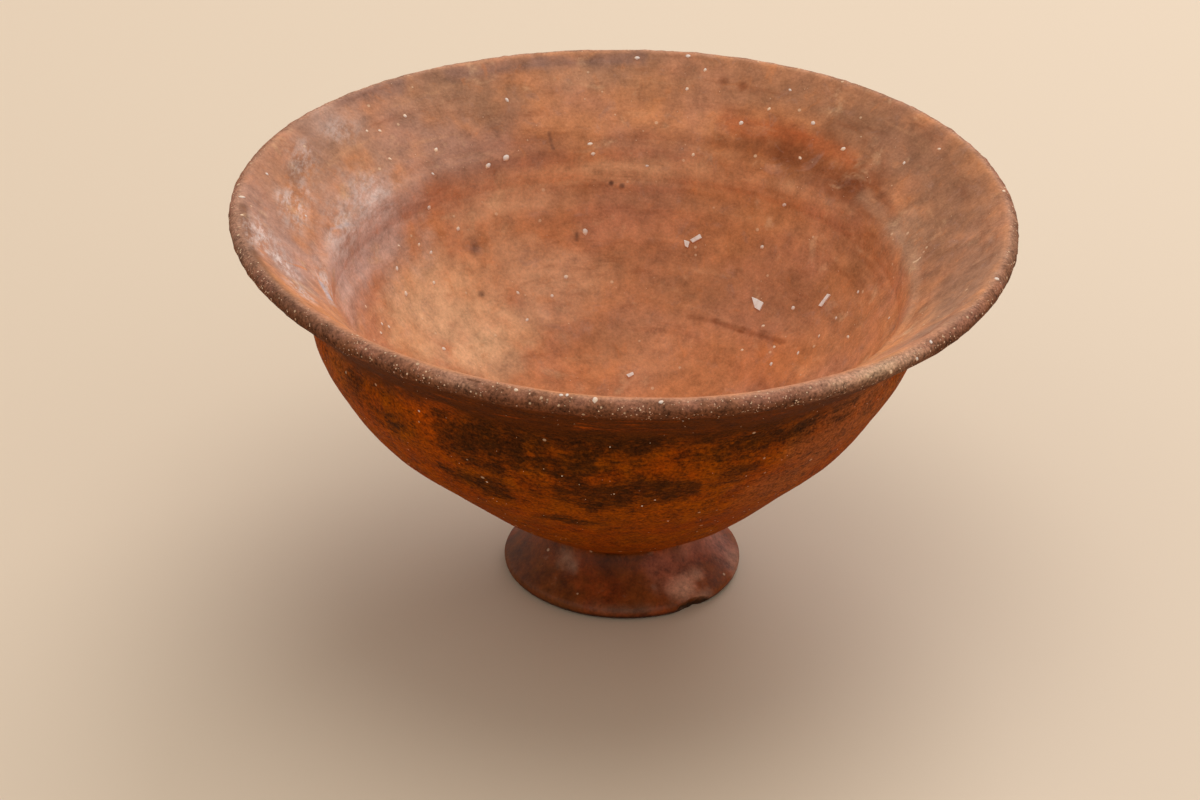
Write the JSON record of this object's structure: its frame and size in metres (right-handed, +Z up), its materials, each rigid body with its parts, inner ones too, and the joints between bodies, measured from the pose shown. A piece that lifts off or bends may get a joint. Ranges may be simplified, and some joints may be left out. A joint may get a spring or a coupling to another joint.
{
  "type": "pottery bowl",
  "caption": "Hand-thrown open bowl of coarse red clay with a flared rim and a small hollow trumpet foot, for holding food or liquid.",
  "frame": {"origin": "centre of the foot's underside, on the surface that the bowl stands on, in the middle of the bowl's footprint", "axes": "+Z up along the bowl's turning axis, towards the open rim; -Y towards the chipped side of the foot; +X to that side's right"},
  "size_m": [0.158, 0.1588, 0.0813],
  "materials": {
    "fired_clay": "unglazed, matt, worn"
  },
  "bodies": {
    "root": {"bowl": "fired_clay"}
  },
  "joints": []
}
